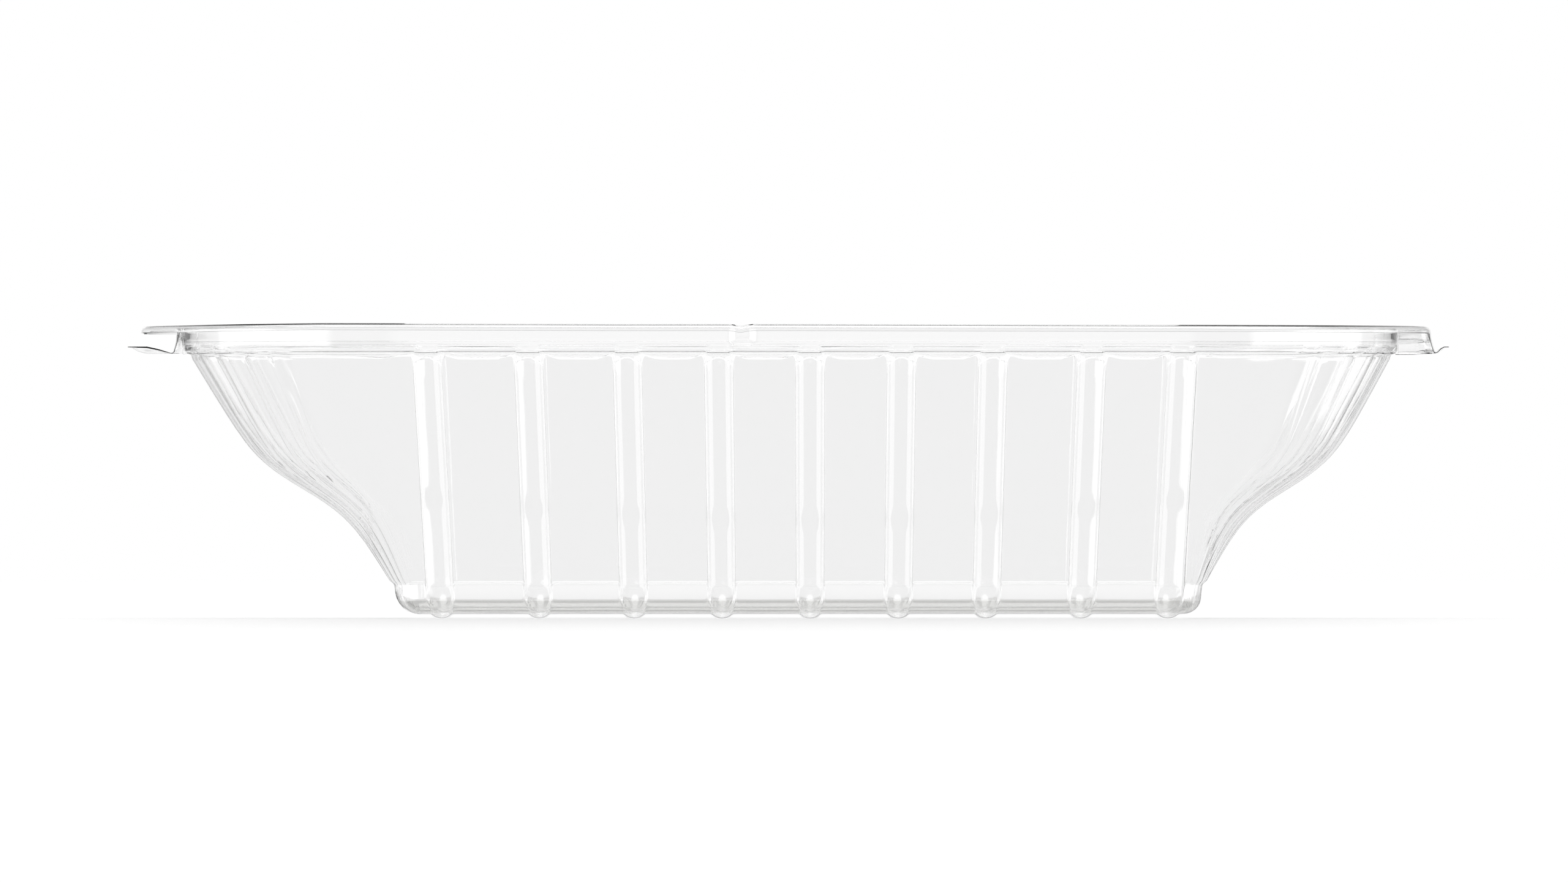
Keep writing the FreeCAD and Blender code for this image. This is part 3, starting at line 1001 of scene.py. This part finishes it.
    def _panel(self, shape: bmesh.types.BMesh, border: list[Vector]) -> None:
        """Lays the bottom panel between the near and the far wall, hoops and all."""
        near = [n for n, s in enumerate(self.stations) if s.zone is Zone.WALL and s.side < 0]
        far = [n for n, s in enumerate(self.stations) if s.zone is Zone.WALL and s.side > 0][::-1]
        along, deep = len(near) - 1, 6
        places = {}
        for vert, column, row in self._grid(shape, along, deep):
            start = border[near[column]]
            places[vert] = (self.rounds[near[column]], -2.0 * abs(start.y) * row / deep)
            if row in (0, deep):
                vert.co = start if row == 0 else border[far[column]]
                continue
            flat = min(self.foot.flat_half_width, -start.y - self.foot.border)
            y = mix(-flat, flat, (row - 1) / (deep - 2))
            point = Vector((start.x, y, self.foot.panel_height))
            vert.co = self.raised(self.stations[near[column]], point, 0.0, -1.0)
        self._map(places)

    def _close_panel(self, shape: bmesh.types.BMesh) -> None:
        """Fills the flat ends of the bottom panel."""
        low = self.foot.panel_height + 0.02
        ends = {-1: [], 1: []}
        for edge in shape.edges:
            a, b = (vert.co for vert in edge.verts)
            if edge.is_boundary and abs(a.z) < low and abs(b.z) < low:
                ends[1 if a.x > 0 else -1].append(edge)
        for edges in ends.values():
            bmesh.ops.contextual_create(shape, geom=edges)

    def _lug(self, shape: bmesh.types.BMesh, land: list[Vector], end: int) -> None:
        """Lays the lug and its tab beyond the land of one end."""
        numbers = [n for n, s in enumerate(self.stations) if s.end == end and self.in_lug(s)]
        numbers.sort(key=lambda n: land[n].y)
        riser_plan = self.riser_plan()
        riser = riser_plan.left if end < 0 else riser_plan.right
        middle = abs(land[numbers[len(numbers) // 2]].x)
        line = self.lug_line(end, riser, middle)
        points = line.points
        across, down = len(numbers) - 1, len(points)
        half = max(abs(land[n].y) for n in numbers)
        tip, tab = points[-1][0], line.tab_row
        lug = self.lug
        corner = lug.tab_corner
        places = {}
        edges = {column: [land[numbers[column]]] * (down + 1) for column in (0, across)}
        for vert, column, row in self._grid(shape, across, down):
            start = land[numbers[column]]
            places[vert] = (start.y, self.ups[-1] + row)
            if row == 0:
                vert.co = start
                continue
            reach, z = points[row - 1]
            share = start.y / half
            width = mix(half, lug.half_width, min(row / lug.settle_rows, 1.0))
            rounding = max(corner - (tip - reach), 0.0)
            width -= corner - math.sqrt(max(corner**2 - rounding**2, 0.0))
            # the lug follows the land's round end, the tab's tip is straight
            pull = (abs(start.x) - middle) * (1.0 - smooth_step(points[down // 2][0], tip, reach))
            # the tab is dished: its sides and its tip turn up
            level = 1.0 - smooth_step(tip - lug.tab_curl, tip, reach)
            level *= 1.0 - smooth_step(0.5, 1.0, abs(share))
            flat = smooth_step(points[tab - 1][0] - 0.4, points[tab + 1][0], reach)
            z += lug.tab_rise * flat * (1.0 - level)
            vert.co = Vector((end * (reach + pull), share * width, z))
            if column in edges:
                edges[column][row] = vert.co.copy()
        self._map(places)
        for edge in edges.values():
            self._flank(shape, edge[: tab + 1], line.face_row)

    def _flank(self, shape: bmesh.types.BMesh, edge: list[Vector], turn: int) -> None:
        """Closes one side of a lug, between its top, its face and the riser.

        Args:
            shape: the mesh.
            edge: the side of the lug, from the land over the top and down to the tab.
            turn: the row of the edge where the face starts.
        """
        top, face = edge[: turn + 1], edge[turn:]
        # a narrow first column keeps the free edge crisp
        top.insert(0, top[0])
        places = {}
        for vert, column, row in self._grid(shape, turn + 1, len(face) - 1):
            outer = face[row]
            share = max(column - 1, 0) / turn
            x = top[column].x + (outer.x - top[-1].x) * share
            if column == 0:
                x -= math.copysign(self.lug.free_edge, outer.x)
            vert.co = top[column] if row == 0 else Vector((x, outer.y, outer.z))
            places[vert] = (outer.y + x - outer.x, self.ups[-1] + turn + row)
        self._map(places)


# ---------------------------------------------------------------- finishes


@dataclass(frozen=True)
class ClearPetFinish:
    """Clear thermoformed PET: glossy and neutral, with fine draw marks and a painted grey shade on
    the foot's curved edge.

    Depths and widths of the marks and heights of the painted shade on the foot are in mm.
    """

    tint: str = "#FEFEFE"
    # painted shade: the grey on the foot's curved edge and the heights where it fades in and out,
    # standing in for how light darkens that edge
    foot_painted_shade: str = "#E4E4E3"
    painted_shade_low: tuple[float, float] = (1.0, 1.4)
    painted_shade_high: tuple[float, float] = (3.5, 3.9)
    roughness: float = 0.02
    ior: float = 1.57
    mark_depth: float = 0.0015
    mark_width: float = 1.8
    mark_stretch: float = 14.0
    ripple_depth: float = 0.009
    ripple_width: float = 9.0
    ripple_stretch: float = 2.0

    def material(self) -> bpy.types.Material:
        """The finished material.

        Returns:
            A Principled material that transmits light, with two scales of unevenness and painted
            shade on the foot.
        """
        material = bpy.data.materials.new("clear_pet")
        material.use_nodes = True
        tree = material.node_tree
        tree.nodes.clear()
        shader = add_node(tree, "ShaderNodeBsdfPrincipled")
        shader.inputs["Roughness"].default_value = self.roughness
        shader.inputs["IOR"].default_value = self.ior
        shader.inputs["Transmission Weight"].default_value = 1.0
        # paints grey shade into the colour of the foot's curved edge
        self._paint_foot_shade(tree, shader)
        place = add_node(tree, "ShaderNodeUVMap", uv_map="draw")
        # the draw stretches every mark upwards: narrow along the wall, long up it
        marks = self._unevenness(
            tree, place, self.mark_width, self.mark_stretch, self.mark_depth, None
        )
        ripple = self._unevenness(
            tree, place, self.ripple_width, self.ripple_stretch, self.ripple_depth, marks
        )
        output = add_node(tree, "ShaderNodeOutputMaterial")
        tree.links.new(ripple.outputs["Normal"], shader.inputs["Normal"])
        tree.links.new(shader.outputs["BSDF"], output.inputs["Surface"])
        return material

    def _paint_foot_shade(self, tree: bpy.types.NodeTree, shader: bpy.types.Node) -> None:
        """Paints shade into the colour of the foot's curved edge: a grey band between two heights
        that stands in for how dark light leaves that edge.
        """
        place = add_node(tree, "ShaderNodeTexCoord")
        parts = add_node(tree, "ShaderNodeSeparateXYZ")
        tree.links.new(place.outputs["Object"], parts.inputs["Vector"])
        share = add_node(tree, "ShaderNodeMath", operation="SUBTRACT")
        for number, limits in enumerate((self.painted_shade_low, self.painted_shade_high)):
            rise = add_node(
                tree,
                "ShaderNodeMapRange",
                interpolation_type="SMOOTHSTEP",
                From_Min=limits[0] * MM,
                From_Max=limits[1] * MM,
            )
            tree.links.new(parts.outputs["Z"], rise.inputs["Value"])
            tree.links.new(rise.outputs["Result"], share.inputs[number])
        # painted shade: a grey band on the foot, standing in for the darkening that light gives its
        # curved edge
        painted_shade = add_node(tree, "ShaderNodeMix", data_type="RGBA")
        painted_shade.inputs[6].default_value = colour(self.tint)
        painted_shade.inputs[7].default_value = colour(self.foot_painted_shade)
        tree.links.new(share.outputs[0], painted_shade.inputs[0])
        tree.links.new(painted_shade.outputs[2], shader.inputs["Base Color"])

    def _unevenness(
        self,
        tree: bpy.types.NodeTree,
        place: bpy.types.Node,
        width: float,
        stretch: float,
        depth: float,
        under: bpy.types.Node | None,
    ) -> bpy.types.Node:
        """Adds one scale of unevenness as a bump.

        Args:
            tree: the material's tree.
            place: the draw map's node, in mm.
            width: width of a mark in mm.
            stretch: how much longer a mark is up the wall.
            depth: depth of a mark in mm.
            under: the bump that this one lies on.

        Returns:
            The bump node.
        """
        mapping = add_node(tree, "ShaderNodeMapping")
        mapping.inputs["Scale"].default_value = (1.0 / width, 1.0 / (width * stretch), 1.0)
        texture = add_node(tree, "ShaderNodeTexNoise")
        texture.inputs["Scale"].default_value = 1.0
        texture.inputs["Detail"].default_value = 1.5
        bump = add_node(tree, "ShaderNodeBump")
        bump.inputs["Strength"].default_value = 1.0
        bump.inputs["Distance"].default_value = depth * MM
        tree.links.new(place.outputs["UV"], mapping.inputs["Vector"])
        tree.links.new(mapping.outputs["Vector"], texture.inputs["Vector"])
        tree.links.new(texture.outputs["Fac"], bump.inputs["Height"])
        if under is not None:
            tree.links.new(under.outputs["Normal"], bump.inputs["Normal"])
        return bump


@dataclass(frozen=True)
class TableFinish:
    """A matt white table top."""

    white: str = "#F9F9F9"
    lift: float = 0.62

    def material(self) -> bpy.types.Material:
        """The finished material.

        Returns:
            Matt white, lifted towards white for the camera and through the plastic, so that the
            shadow of the clear tray stays as light as it is.
        """
        material = bpy.data.materials.new("white_table")
        material.use_nodes = True
        tree = material.node_tree
        shader = tree.nodes["Principled BSDF"]
        shader.inputs["Base Color"].default_value = colour(self.white)
        shader.inputs["Roughness"].default_value = 1.0
        shader.inputs["Specular IOR Level"].default_value = 0.0
        shader.inputs["Emission Color"].default_value = (1.0, 1.0, 1.0, 1.0)
        path = add_node(tree, "ShaderNodeLightPath")
        seen = add_node(tree, "ShaderNodeMath", operation="MAXIMUM")
        lift = add_node(tree, "ShaderNodeMath", operation="MULTIPLY")
        lift.inputs[1].default_value = self.lift
        tree.links.new(path.outputs["Is Camera Ray"], seen.inputs[0])
        tree.links.new(path.outputs["Is Transmission Ray"], seen.inputs[1])
        tree.links.new(seen.outputs[0], lift.inputs[0])
        tree.links.new(lift.outputs[0], shader.inputs["Emission Strength"])
        return material


# ---------------------------------------------------------------- the studio


@dataclass(frozen=True)
class StudioSize:
    """Sizes of the studio in metres, with the lens and its sensor in millimetres."""

    table_half_width: float = 3.0
    table_back: float = 4.0
    table_front: float = 1.6
    slope_from: float = 0.033
    slope_ease: float = 0.012
    slope: float = 3.0  # degrees
    camera_from: tuple[float, float, float] = (-0.0009, -8.0, 0.0225)
    camera_at: tuple[float, float, float] = (-0.0009, 0.0, 0.0362)
    lens: float = 900.0
    sensor: float = 36.0


@dataclass(frozen=True)
class LightLevels:
    """How bright each part of the studio is, where white is one."""

    room: float = 0.16
    flag: float = 0.12
    side: float = 0.7
    floor: float = 0.2
    floor_behind: float = 0.5
    front: float = 0.75
    backdrop: float = 1.0
    strip: float = 2.1
    overhead: float = 3.2
    table_overhead: float = 0.2
    table_fill: float = 0.26


@dataclass(frozen=True)
class LightEdges:
    """Where each part of the studio fades in or out, along a direction's X, Y or Z."""

    strip_x: tuple[float, float] = (0.68, 0.76)
    strip_y: tuple[float, float] = (0.38, 0.5)
    strip_low: tuple[float, float] = (-0.43, -0.39)
    strip_high: tuple[float, float] = (0.4, 0.44)
    front_y: tuple[float, float] = (-0.97, -0.93)
    front_z: tuple[float, float] = (-0.14, -0.08)
    floor_z: tuple[float, float] = (-0.75, -0.6)
    floor_behind_y: tuple[float, float] = (0.3, 0.5)
    floor_behind_z: tuple[float, float] = (-0.3, -0.2)
    flag_y: tuple[float, float] = (0.15, 0.5)
    flag_z: tuple[float, float] = (-0.06, -0.02)
    backdrop_y: tuple[float, float] = (0.93, 0.97)
    overhead_z: tuple[float, float] = (0.8, 0.92)


class Studio:
    """White table, white backdrop between dark flags, soft light strips and the camera."""

    def __init__(self, size: StudioSize, levels: LightLevels, edges: LightEdges) -> None:
        """Keeps the sizes, the light levels and where the parts of the studio end."""
        self.size = size
        self.levels = levels
        self.edges = edges

    def build(self) -> None:
        """Sets up the table, the surroundings and the camera."""
        self._table()
        self._surroundings()
        self._camera()

    def _table(self) -> None:
        """A white table top, level under the tray and falling away gently in front of it."""
        size = self.size
        mesh = bpy.data.meshes.new("table")
        shape = bmesh.new()
        fall = math.tan(math.radians(size.slope))
        ease = size.slope_ease
        lines = [size.table_back, 0.2, 0.0, -size.slope_from]
        lines += [-size.slope_from - ease * n / 4 for n in range(1, 5)]
        lines += [-0.2, -0.6, -size.table_front]
        grid = bmesh.ops.create_grid(shape, x_segments=1, y_segments=len(lines) - 1, size=0.5)
        for vert in grid["verts"]:
            y = lines[round((vert.co.y + 0.5) * (len(lines) - 1))]
            gone = max(-size.slope_from - y, 0.0)
            eased = gone**2 / (2 * ease) if gone < ease else gone - ease / 2
            vert.co = (vert.co.x * 2 * size.table_half_width, y, -fall * eased)
        bmesh.ops.recalc_face_normals(shape, faces=shape.faces)
        for face in shape.faces:
            if face.normal.z < 0:
                face.normal_flip()
            face.smooth = True
        shape.to_mesh(mesh)
        shape.free()
        mesh.materials.append(TableFinish().material())
        table = bpy.data.objects.new("table", mesh)
        bpy.context.collection.objects.link(table)
        # the gloss mirrors the studio, not the table
        table.visible_glossy = False
        LOG.info("table: %.1f m wide", 2 * size.table_half_width)

    def _surroundings(self) -> None:
        """White for the camera, a lit studio for everything else."""
        world = bpy.data.worlds.new("studio")
        bpy.context.scene.world = world
        world.use_nodes = True
        tree = world.node_tree
        tree.nodes.clear()
        levels = self.levels
        place = add_node(tree, "ShaderNodeTexCoord")
        parts = add_node(tree, "ShaderNodeSeparateXYZ")
        tree.links.new(place.outputs["Generated"], parts.inputs["Vector"])
        overhead = self._band(
            tree, parts.outputs["Z"], self.edges.overhead_z, 0.0, levels.overhead
        )
        studio = self._maths(tree, "MAXIMUM", self._room(tree, parts), overhead)
        # the matt table takes an even light and the light from overhead
        softened = self._maths(tree, "MULTIPLY", overhead, levels.table_overhead)
        even = self._maths(tree, "ADD", softened, levels.table_fill)
        path = add_node(tree, "ShaderNodeLightPath")
        glossy, through = path.outputs["Is Glossy Ray"], path.outputs["Is Transmission Ray"]
        clear = self._maths(tree, "MAXIMUM", glossy, through)
        # light that reaches the table through the tray is the table's light too
        direct = self._maths(tree, "LESS_THAN", path.outputs["Diffuse Depth"], 0.5)
        clear = self._maths(tree, "MULTIPLY", clear, direct)
        lit = self._blend(tree, clear, even, studio)
        level = self._blend(tree, path.outputs["Is Camera Ray"], lit, 1.0)
        background = add_node(tree, "ShaderNodeBackground", Color=(1.0, 1.0, 1.0, 1.0))
        tree.links.new(level, background.inputs["Strength"])
        output = add_node(tree, "ShaderNodeOutputWorld")
        tree.links.new(background.outputs["Background"], output.inputs["Surface"])

    def _room(self, tree: bpy.types.NodeTree, parts: bpy.types.Node) -> bpy.types.NodeSocket:
        """The light of the studio without the light from overhead.

        Args:
            tree: the world's tree.
            parts: the node that takes a direction apart.

        Returns:
            The level's socket.
        """
        levels, edges = self.levels, self.edges
        across = self._maths(tree, "ABSOLUTE", parts.outputs["X"])
        back, up = parts.outputs["Y"], parts.outputs["Z"]
        # tall strips of light to the left and right
        strip = self._band(tree, across, edges.strip_x, 0.0, levels.strip)
        for limit in (
            self._band(tree, back, edges.strip_y, 1.0, 0.0),
            self._band(tree, up, edges.strip_low, 0.0, 1.0),
            self._band(tree, up, edges.strip_high, 1.0, 0.0),
        ):
            strip = self._maths(tree, "MULTIPLY", strip, limit)
        front = self._band(tree, back, edges.front_y, levels.front, 0.0)
        front = self._maths(tree, "MULTIPLY", front, self._band(tree, up, edges.front_z, 0.0, 1.0))
        # the floor is pale grey under the tray and behind it
        floor = self._band(tree, up, edges.floor_z, levels.floor, 0.0)
        behind = self._band(tree, back, edges.floor_behind_y, 0.0, levels.floor_behind)
        low = self._band(tree, up, edges.floor_behind_z, 1.0, 0.0)
        behind = self._maths(tree, "MULTIPLY", behind, low)
        # dark flags stand between the strips and the backdrop
        flag = self._band(tree, up, edges.flag_z, levels.flag, levels.side)
        share = self._band(tree, back, edges.flag_y, 1.0, 0.0)
        room = self._blend(tree, share, flag, levels.room)
        backdrop = self._band(tree, back, edges.backdrop_y, 0.0, levels.backdrop)
        for part in (strip, front, floor, behind, backdrop):
            room = self._maths(tree, "MAXIMUM", room, part)
        return room

    def _maths(
        self, tree: bpy.types.NodeTree, operation: str, *sources: bpy.types.NodeSocket | float
    ) -> bpy.types.NodeSocket:
        """Adds a maths node fed by these sockets or numbers and returns its output."""
        node = add_node(tree, "ShaderNodeMath", operation=operation)
        for source, target in zip(sources, node.inputs):
            feed(tree, source, target)
        return node.outputs[0]

    def _band(
        self,
        tree: bpy.types.NodeTree,
        source: bpy.types.NodeSocket,
        edge: tuple[float, float],
        before: float,
        after: float,
    ) -> bpy.types.NodeSocket:
        """Adds a soft step.

        Args:
            tree: the world's tree.
            source: the value that the step follows.
            edge: where the step starts and where it ends.
            before: the level before it.
            after: the level after it.

        Returns:
            The level's socket.
        """
        node = add_node(
            tree,
            "ShaderNodeMapRange",
            interpolation_type="SMOOTHSTEP",
            From_Min=edge[0],
            From_Max=edge[1],
            To_Min=before,
            To_Max=after,
        )
        tree.links.new(source, node.inputs["Value"])
        return node.outputs["Result"]

    def _blend(
        self,
        tree: bpy.types.NodeTree,
        share: bpy.types.NodeSocket,
        first: bpy.types.NodeSocket,
        second: bpy.types.NodeSocket | float,
    ) -> bpy.types.NodeSocket:
        """Adds a mix of two levels and returns its output."""
        node = add_node(tree, "ShaderNodeMix", data_type="FLOAT")
        for source, number in ((share, 0), (first, 2), (second, 3)):
            feed(tree, source, node.inputs[number])
        return node.outputs[0]

    def _camera(self) -> None:
        """A long lens a little above the table, level with the tray."""
        size = self.size
        data = bpy.data.cameras.new("camera")
        data.lens = size.lens
        data.sensor_width = size.sensor
        camera = bpy.data.objects.new("camera", data)
        bpy.context.collection.objects.link(camera)
        camera.location = size.camera_from
        aim = Vector(size.camera_at) - Vector(size.camera_from)
        camera.rotation_euler = aim.to_track_quat("-Z", "Y").to_euler()
        bpy.context.scene.camera = camera
        bpy.context.scene.view_settings.view_transform = "Standard"


def main() -> None:
    """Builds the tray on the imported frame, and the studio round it."""
    logging.basicConfig(level=logging.INFO, format="%(name)s: %(message)s")
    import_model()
    sheet = ClearTray(BasinSize(), FootSize(), HoopSize(), RimSize(), LugSize(), DrawSize())
    tray = sheet.build(ClearPetFinish().material())
    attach(tray, "root")
    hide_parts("tray")
    Studio(StudioSize(), LightLevels(), LightEdges()).build()


if __name__ == "__main__":
    main()
